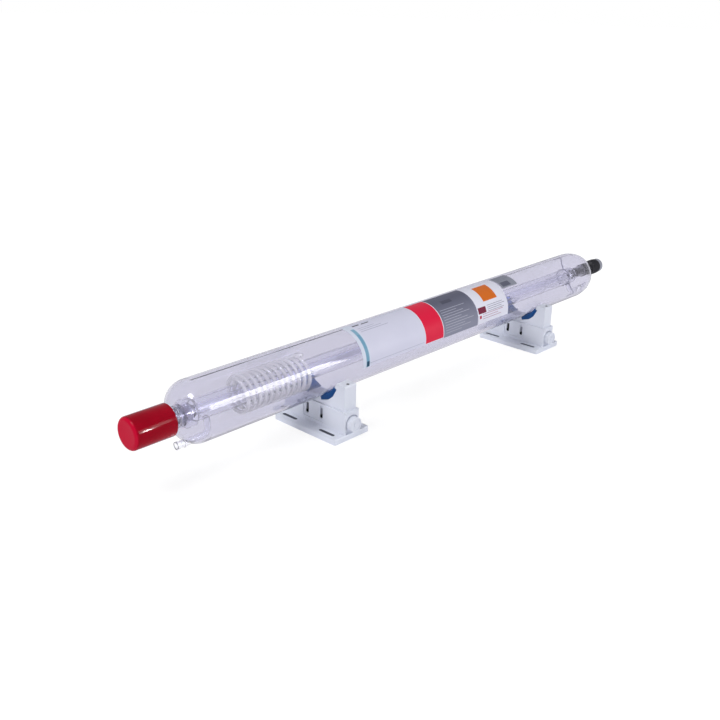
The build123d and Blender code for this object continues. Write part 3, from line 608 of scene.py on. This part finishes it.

# ---- Dust cap ------------------------------------------------------------------------------
# Soft glossy red PVC, dip moulded and pushed over the output head. The closed end is
# rounded over and faintly dished, and the open end has a rolled lip. The closed end is painted a
# paler red, painted light where it faces the lamps, and is rougher.


def arc(centre_y, centre_r, radius, start, end, steps):
    """Points of an arc in (y, r), angles in degrees from the +y direction towards +r."""
    turns = [math.radians(start + (end - start) * step / steps) for step in range(steps + 1)]
    return [(centre_y + radius * math.cos(t), centre_r + radius * math.sin(t)) for t in turns]


def turned_shape(outline, segments=128):
    """A closed (y, r) outline spun round the tube's axis. Points on the axis become poles."""
    shape = bmesh.new()
    rings = []
    for y, radius in outline:
        if radius < 1e-6:
            rings.append([shape.verts.new((0.0, y, axis_height))])
        else:
            rings.append(
                [shape.verts.new(on_tube(360 * s / segments, radius, y)) for s in range(segments)]
            )
    for first, second in zip(rings, rings[1:] + rings[:1]):
        if len(first) == 1 and len(second) == 1:
            continue
        for here in range(segments):
            there = (here + 1) % segments
            corners = [first[here % len(first)], second[here % len(second)]]
            corners += [second[there % len(second)], first[there % len(first)]]
            shape.faces.new(dict.fromkeys(corners))
    bmesh.ops.recalc_face_normals(shape, faces=shape.faces)
    return shape


cap_low, cap_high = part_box("dust_cap")
cap_radius = (cap_high.x - cap_low.x) / 2
cap_bore = 0.018
cap_corner = 0.0045
cap_dish = 0.0004
cap_end_wall = 0.0035
cap_dish_edge = 0.45 * cap_radius
cap_dish_rim = 0.66 * cap_radius
lip = 0.0008
lip_groove = 0.0002
lip_groove_ends = (3.2 * lip, 2.4 * lip, 1.8 * lip)
cap_outline = [
    (cap_low.y + cap_dish, 0.0),
    (cap_low.y + cap_dish, cap_dish_edge),
    (cap_low.y + cap_dish * 0.3, cap_dish_rim),
    *arc(cap_low.y + cap_corner, cap_radius - cap_corner, cap_corner, 180, 90, 12),
    (cap_high.y - lip_groove_ends[0], cap_radius),
    (cap_high.y - lip_groove_ends[1], cap_radius - lip_groove),
    (cap_high.y - lip_groove_ends[2], cap_radius - lip_groove),
    *arc(cap_high.y - lip, cap_radius - lip, lip, 90, 0, 5),
    *arc(cap_high.y - lip, cap_bore + lip, lip, 0, -90, 5),
    (cap_low.y + cap_end_wall + 0.002, cap_bore),
    (cap_low.y + cap_end_wall, cap_bore - 0.002),
    (cap_low.y + cap_end_wall, 0.0),
]
cap_pvc, tree, skin = new_finish("cap_pvc", "a0001e", 0.15, {"Specular IOR Level": 0.1})
side_red = tint(tree, mottle(tree, 45.0, 2.0), "8c0016", "a4001e")
along = place_parts(tree)["Y"]
lit_end_depth = 0.0035          # back from the closed end
fade = 0.002
# Painted light: the closed end is painted a paler red than the sides.
lit_end_share = calc(tree, "MULTIPLY_ADD", along, -1 / fade, (cap_low.y + lit_end_depth) / fade)
lit_end_share.node.use_clamp = True
tree.links.new(tint(tree, lit_end_share, side_red, "c80230"), skin.inputs["Base Color"])
tree.links.new(ramp(tree, lit_end_share, 0.12, 0.3), skin.inputs["Roughness"])
emboss(tree, skin, mottle(tree, 110.0, 1.0), 0.00003)
make_piece(
    "soft_dust_cap", turned_shape(cap_outline), cap_pvc, "tube", ("dust_cap",), 40.0
)

# ---- Printed labels ------------------------------------------------------------------------
# Three pieces of printed film wrapped on the glass: a long white one with a pale blue
# stripe, a red band and a silver-grey field, a white one with an orange field, and a small
# grey one on top. Their print is plain fields and rules.


def label_axes(tree):
    """Where a point of the label lies: millimetres along the tube, degrees round it."""
    across, along, height = place_parts(tree)
    turn = calc(tree, "ARCTAN2", across, calc(tree, "SUBTRACT", height, axis_height))
    return (
        calc(tree, "MULTIPLY", along, 1000.0),
        calc(tree, "MULTIPLY", turn, math.degrees(1.0)),
    )


def field(tree, along, round_by, along_span, round_span):
    """1 inside a printed field, else 0."""
    across = inside(tree, along, *along_span)
    return calc(tree, "MULTIPLY", across, inside(tree, round_by, *round_span))


def rules(tree, along, round_by, along_span, round_span, pitch, thickness, ragged):
    """Thin printed rules along the tube, of uneven length where ragged is over 0."""
    row = calc(tree, "DIVIDE", round_by, pitch)
    on_rule = calc(tree, "LESS_THAN", calc(tree, "FRACT", row), thickness)
    jump = calc(tree, "FRACT", calc(tree, "MULTIPLY", calc(tree, "FLOOR", row), 0.618))
    end = calc(tree, "MULTIPLY_ADD", jump, -ragged, along_span[1])
    before = calc(tree, "MULTIPLY", on_rule, calc(tree, "LESS_THAN", along, end))
    whole = field(tree, along, round_by, along_span, round_span)
    return calc(tree, "MULTIPLY", before, whole)


film_roughness = (0.3, 0.42)


def new_film(name, colour):
    """Printed film: the caller lays the fields on its ground colour."""
    film, tree, skin = new_finish(name, colour, film_roughness[0], {"Specular IOR Level": 0.2})
    tree.links.new(ramp(tree, mottle(tree, 500.0), *film_roughness), skin.inputs["Roughness"])
    emboss(tree, skin, mottle(tree, 60.0, 1.0), 0.00003)
    return film, tree, skin


white_film, tree, skin = new_film("white_film", "d3d3e5")
along, round_by = label_axes(tree)
paper = tint(tree, mottle(tree, 25.0), "d6d6e8", "dedeee")
# Painted reflection: the silver field is painted darker towards its top and lighter towards its
# side.
silver_shade_share = calc(tree, "MULTIPLY_ADD", round_by, 1 / 75.0, -15 / 75.0)
silver_shade_share.node.use_clamp = True
silver = tint(tree, silver_shade_share, "5d5f71", "8d8fa1")
print_fields = (
    (field(tree, along, round_by, (41, 56), (-10, 120)), "d9dfee"),
    (field(tree, along, round_by, (47.5, 54), (12, 98.5)), "86b0c8"),
    (field(tree, along, round_by, (48.5, 53), (30, 87)), "74a3bf"),
    (field(tree, along, round_by, (48.5, 53.5), (87, 98)), "1f4a66"),
    (field(tree, along, round_by, (54, 171), (91.4, 92.2)), "a4a6bc"),
    (field(tree, along, round_by, (58, 71), (1, 4.6)), "26273a"),
    (field(tree, along, round_by, (75, 90), (2, 5.0)), "3a3b4b"),
    (rules(tree, along, round_by, (60, 118), (14, 30), 5.0, 0.2, 30.0), "a3a4ba"),
    (field(tree, along, round_by, (173, 217), (-10, 120)), "e2e3f0"),
    (field(tree, along, round_by, (174.5, 215.5), (-10, 97)), "e6123f"),
    (field(tree, along, round_by, (217, 301), (-10, 120)), silver),
    (rules(tree, along, round_by, (222, 292), (36, 93), 5.6, 0.2, 36.0), "b2b4c2"),
    (field(tree, along, round_by, (238, 262), (16, 26)), "505262"),
)
tree.links.new(lay_over(tree, paper, print_fields), skin.inputs["Base Color"])
dress("main_label", white_film)

notice_film, tree, skin = new_film("notice_film", "d6d6e6")
along, round_by = label_axes(tree)
paper = tint(tree, mottle(tree, 25.0), "e2e2ef", "eaeaf5")
print_fields = (
    (field(tree, along, round_by, (324, 360), (9, 52)), "dc6e14"),
    (field(tree, along, round_by, (304, 324), (62, 76)), "7a1a3a"),
    (field(tree, along, round_by, (306, 311), (80, 87)), "c23050"),
    (rules(tree, along, round_by, (328, 378), (59, 76), 4.4, 0.25, 14.0), "7d7e92"),
    (rules(tree, along, round_by, (314, 374), (78, 92), 5.2, 0.22, 22.0), "b07a92"),
)
tree.links.new(lay_over(tree, paper, print_fields), skin.inputs["Base Color"])
dress("notice_label", notice_film)

grey_film, tree, skin = new_film("grey_film", "8d909d")
along, round_by = label_axes(tree)
paper = tint(tree, mottle(tree, 60.0), "858895", "989ba8")
print_fields = (
    (field(tree, along, round_by, (390, 412), (20, 34)), "5e6070"),
    (rules(tree, along, round_by, (390, 424), (-4, 18), 4.6, 0.3, 14.0), "707382"),
)
tree.links.new(lay_over(tree, paper, print_fields), skin.inputs["Base Color"])
dress("top_label", grey_film)

# ---- Floor, lamps and camera ---------------------------------------------------------------
# A plain white floor and soft studio light: a weak dome, a softbox above the output end and a
# long low one beside the tube, which draws the bright streak along the glass. A small strip
# lamp lights glossy faces alone and draws the streak on the cap.

scene = bpy.context.scene
scene.view_settings.view_transform = "Standard"
scene.cycles.max_bounces = 32
scene.cycles.transmission_bounces = 32
scene.cycles.glossy_bounces = 12
scene.cycles.transparent_max_bounces = 16

floor_reach = 30.0
floor_height = -0.0001          # just under the bases
corners = [
    (x * floor_reach, y * floor_reach, floor_height)
    for x, y in ((-1, -1), (1, -1), (1, 1), (-1, 1))
]
floor_mesh = bpy.data.meshes.new("floor")
floor_mesh.from_pydata(corners, [], [(0, 1, 2, 3)])
floor = bpy.data.objects.new("floor", floor_mesh)
scene.collection.objects.link(floor)


def by_ray(tree, choice, shades):
    """A shader that gives way to each of the shades in turn, where its share is 1."""
    for share, shade in shades:
        sockets = {0: share, 1: choice.outputs[0], 2: shade.outputs[0]}
        choice = add_node(tree, "ShaderNodeMixShader", sockets)
    return choice


floor_white = bpy.data.materials.new("floor_white")
floor_white.use_nodes = True
tree = floor_white.node_tree
tree.nodes.clear()
bounce = add_node(tree, "ShaderNodeBsdfDiffuse", {"Color": (0.85, 0.85, 0.87, 1.0)})
sheen = add_node(tree, "ShaderNodeEmission", {"Color": (0.95, 0.95, 1.0, 1.0), "Strength": 0.2})
matt = add_node(tree, "ShaderNodeAddShader", {0: bounce.outputs[0], 1: sheen.outputs[0]})
shown_matt = add_node(tree, "ShaderNodeBsdfDiffuse", {"Color": (0.2, 0.2, 0.2, 1.0)})
place = tree.nodes.new("ShaderNodeTexCoord")
far_away = tree.nodes.new("ShaderNodeVectorMath")
far_away.operation = "LENGTH"
tree.links.new(place.outputs["Object"], far_away.inputs[0])
glow_at_middle = 0.84
glow_growth = 0.12              # for each metre outwards
glow_strength = calc(
    tree, "MULTIPLY_ADD", far_away.outputs["Value"], glow_growth, glow_at_middle
)
glow_strength = calc(tree, "MINIMUM", glow_strength, 1.0)
# Painted shadow: the floor's glow is taken out under each base, so the floor shows dark through the
# slots.
under_base_inset = 0.003
across, along, _ = place_parts(tree)
for side in ("near", "far"):
    low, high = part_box(f"{side}_base")
    under_base_shade = calc(
        tree,
        "MULTIPLY",
        inside(tree, across, low.x + under_base_inset, high.x - under_base_inset),
        inside(tree, along, low.y + under_base_inset, high.y - under_base_inset),
    )
    unshaded_share = calc(tree, "SUBTRACT", 1.0, under_base_shade)
    glow_strength = calc(tree, "MULTIPLY", glow_strength, unshaded_share)
glow = add_node(
    tree, "ShaderNodeEmission", {"Color": (1.0, 1.0, 1.0, 1.0), "Strength": glow_strength}
)
shown = add_node(tree, "ShaderNodeAddShader", {0: shown_matt.outputs[0], 1: glow.outputs[0]})
reflected = add_node(
    tree, "ShaderNodeEmission", {"Color": (0.9, 0.9, 1.0, 1.0), "Strength": 0.6}
)
rays = tree.nodes.new("ShaderNodeLightPath").outputs
straight = calc(tree, "MAXIMUM", rays["Is Camera Ray"], rays["Is Transmission Ray"])
choice = by_ray(tree, matt, ((rays["Is Glossy Ray"], reflected), (straight, shown)))
end = tree.nodes.new("ShaderNodeOutputMaterial")
tree.links.new(choice.outputs[0], end.inputs["Surface"])
floor_mesh.materials.append(floor_white)

dome = bpy.data.worlds.new("dome")
scene.world = dome
dome.use_nodes = True
tree = dome.node_tree
tree.nodes.clear()
lit = add_node(tree, "ShaderNodeBackground", {"Color": (0.95, 0.96, 1.0, 1.0), "Strength": 0.46})
mirrored = add_node(tree, "ShaderNodeBackground", {"Color": (0.9, 0.9, 1.0, 1.0), "Strength": 0.5})
through = add_node(tree, "ShaderNodeBackground", {"Color": (0.95, 0.95, 1.0, 1.0), "Strength": 1.0})
backdrop = add_node(tree, "ShaderNodeBackground", {"Color": (1.0, 1.0, 1.0, 1.0), "Strength": 1.0})
rays = tree.nodes.new("ShaderNodeLightPath").outputs
shades = (
    (rays["Is Glossy Ray"], mirrored),
    (rays["Is Transmission Ray"], through),
    (rays["Is Camera Ray"], backdrop),
)
choice = by_ray(tree, lit, shades)
end = tree.nodes.new("ShaderNodeOutputWorld")
tree.links.new(choice.outputs[0], end.inputs["Surface"])


def add_lamp(name, place, target, width, height, power, lights_matt=True):
    """A soft rectangular lamp at place, facing target, which may light glossy faces alone."""
    light = bpy.data.lights.new(name, "AREA")
    light.shape = "RECTANGLE"
    light.size = width
    light.size_y = height
    light.energy = power
    lamp = bpy.data.objects.new(name, light)
    lamp.location = place
    lamp.rotation_euler = (Vector(target) - Vector(place)).to_track_quat("-Z", "Y").to_euler()
    lamp.visible_diffuse = lights_matt
    scene.collection.objects.link(lamp)


tube_middle = (0.0, 0.22, 0.06)
over_near_support = (0.0, 0.0, 0.09)
cap_middle = (0.0, -0.27, 0.09)
add_lamp("top_softbox", (0.05, -1.2, 1.65), tube_middle, width=0.6, height=0.6, power=15.5)
add_lamp(
    "side_softbox", (1.75, 1.0, 0.65), over_near_support, width=0.95, height=0.55, power=10.2
)
add_lamp(
    "cap_strip",
    (1.75, 0.735, 0.37),
    cap_middle,
    width=0.2,
    height=0.06,
    power=25.0,
    lights_matt=False,
)

camera_place = Vector((0.80331, -0.79311, 0.54112))
look = Vector((-0.630815, 0.683864, -0.366610)).normalized()
roll = math.radians(1.2915)
focal_pixels = 902.78
frame_pixels = 720.0
level_right = Vector((0.735042, 0.678022, 0.0)).normalized()
level_up = level_right.cross(look)
right = math.cos(roll) * level_right + math.sin(roll) * level_up
up = right.cross(look)
turn = Matrix((right, up, -look)).transposed()
lens = bpy.data.cameras.new("camera")
lens.sensor_width = 36.0
lens.lens = focal_pixels / frame_pixels * lens.sensor_width
lens.clip_start = 0.01
camera = bpy.data.objects.new("camera", lens)
camera.matrix_world = Matrix.Translation(camera_place) @ turn.to_4x4()
scene.collection.objects.link(camera)
scene.camera = camera
